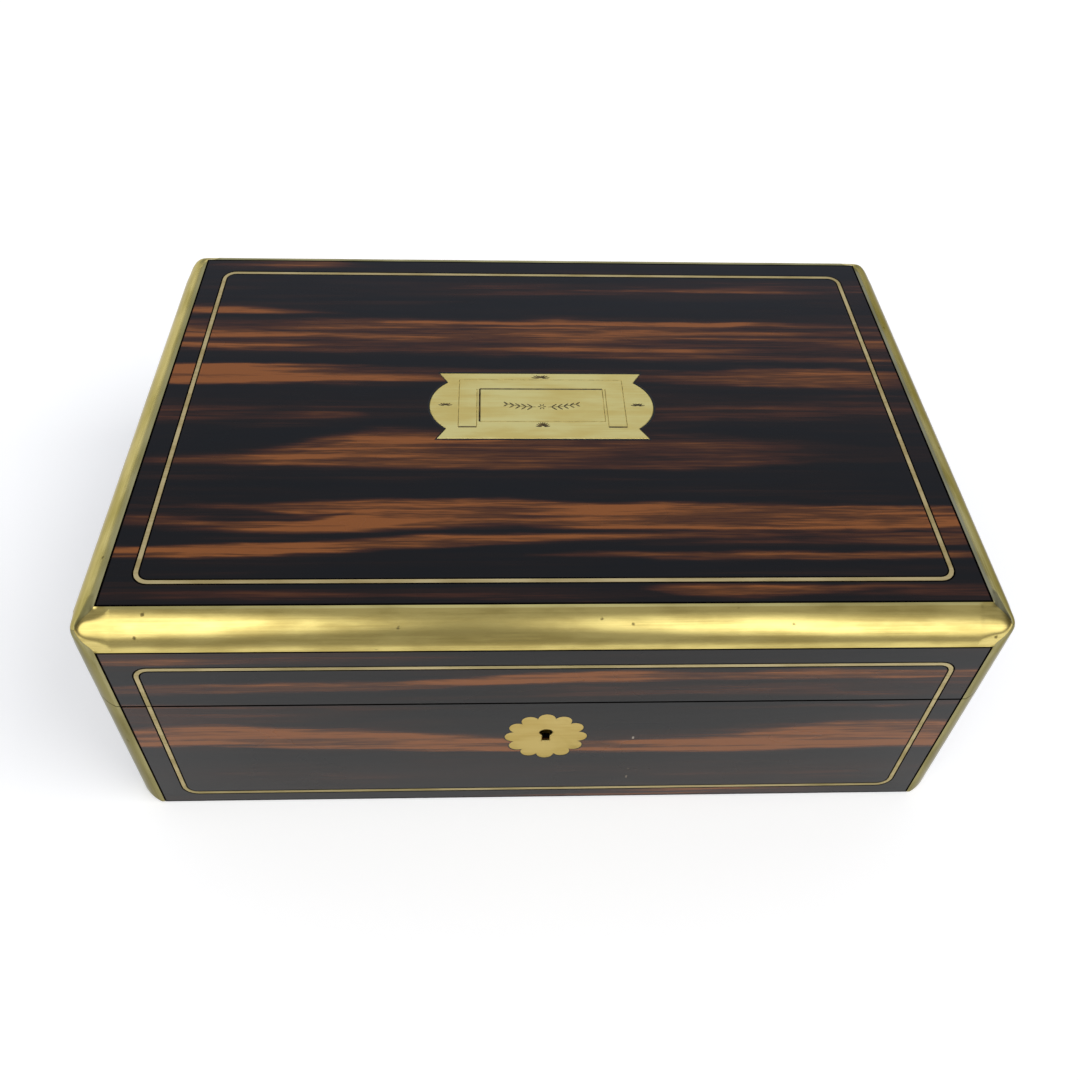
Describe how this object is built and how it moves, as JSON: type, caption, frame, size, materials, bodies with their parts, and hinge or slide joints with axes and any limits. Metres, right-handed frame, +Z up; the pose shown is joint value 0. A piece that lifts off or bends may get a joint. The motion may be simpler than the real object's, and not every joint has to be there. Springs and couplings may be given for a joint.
{
  "type": "dressing case",
  "caption": "Low rectangular dressing case with a hinged lid, moulded brass edging, inlaid brass lines, scalloped keyhole plate, box lock, lid mirror and lift-out divided tray.",
  "frame": {"origin": "centre of the underside, midway between the case's side faces and between its front and back faces", "axes": "+X to the case's right, +Y from the keyhole side to the hinge side, +Z up"},
  "size_m": [0.34, 0.2367, 0.12],
  "materials": {
    "coromandel_veneer": "french polished",
    "mahogany": "satin polish",
    "brass": "worn satin",
    "steel": "drawn wire",
    "velvet": "cut pile",
    "leather": "fine grain",
    "baize": "felted",
    "mirror_glass": "silvered plate glass"
  },
  "bodies": {
    "base": {"base_front_board": "mahogany", "base_back_board": "mahogany", "base_left_board": "mahogany", "base_right_board": "mahogany", "base_bottom_board": "mahogany", "base_front_veneer": "coromandel_veneer", "base_back_veneer": "coromandel_veneer", "base_left_veneer": "coromandel_veneer", "base_right_veneer": "coromandel_veneer", "base_front_left_edging": "brass", "base_front_right_edging": "brass", "base_back_left_edging": "brass", "base_back_right_edging": "brass", "base_front_stringing": "brass", "keyhole_escutcheon": "brass", "lock_case": "brass", "base_front_lining": "mahogany", "base_back_lining": "mahogany", "base_left_lining": "mahogany", "base_right_lining": "mahogany", "floor_pad": "velvet", "base_baize": "baize", "left_hinge_base_leaf": "brass", "right_hinge_base_leaf": "brass", "left_hinge_pin": "steel", "right_hinge_pin": "steel"},
    "lid": {"lid_front_board": "mahogany", "lid_back_board": "mahogany", "lid_left_board": "mahogany", "lid_right_board": "mahogany", "lid_top_board": "mahogany", "lid_front_veneer": "coromandel_veneer", "lid_back_veneer": "coromandel_veneer", "lid_left_veneer": "coromandel_veneer", "lid_right_veneer": "coromandel_veneer", "lid_top_veneer": "coromandel_veneer", "lid_front_edging": "brass", "lid_back_edging": "brass", "lid_left_edging": "brass", "lid_right_edging": "brass", "lid_front_left_edging": "brass", "lid_front_right_edging": "brass", "lid_back_left_edging": "brass", "lid_back_right_edging": "brass", "lid_top_stringing": "brass", "lid_front_stringing": "brass", "lid_plate": "brass", "lock_link_plate": "brass", "left_hinge_lid_leaf": "brass", "right_hinge_lid_leaf": "brass", "lid_lining": "leather", "mirror_frame": "leather", "mirror_glass": "mirror_glass"},
    "lock_bolt": {"lock_bolt": "brass"},
    "tray": {"tray_frame": "mahogany", "tray_bottom": "velvet", "tray_long_divider": "mahogany", "tray_cross_divider_1": "mahogany", "tray_cross_divider_2": "mahogany", "tray_cross_divider_3": "mahogany"}
  },
  "joints": [
    {"name": "lid_hinge", "type": "hinge", "parent": "base", "child": "lid", "pos_m": [0, 0.117, 0.0745], "axis": [-1, 0, 0], "range_deg": [0, 98]},
    {"name": "lock_bolt_throw", "type": "slide", "parent": "base", "child": "lock_bolt", "axis": [1, 0, 0], "range_m": [0, 0.005]},
    {"name": "tray_lift", "type": "slide", "parent": "base", "child": "tray", "axis": [0, 0, 1], "range_m": [0, 0.02]}
  ]
}
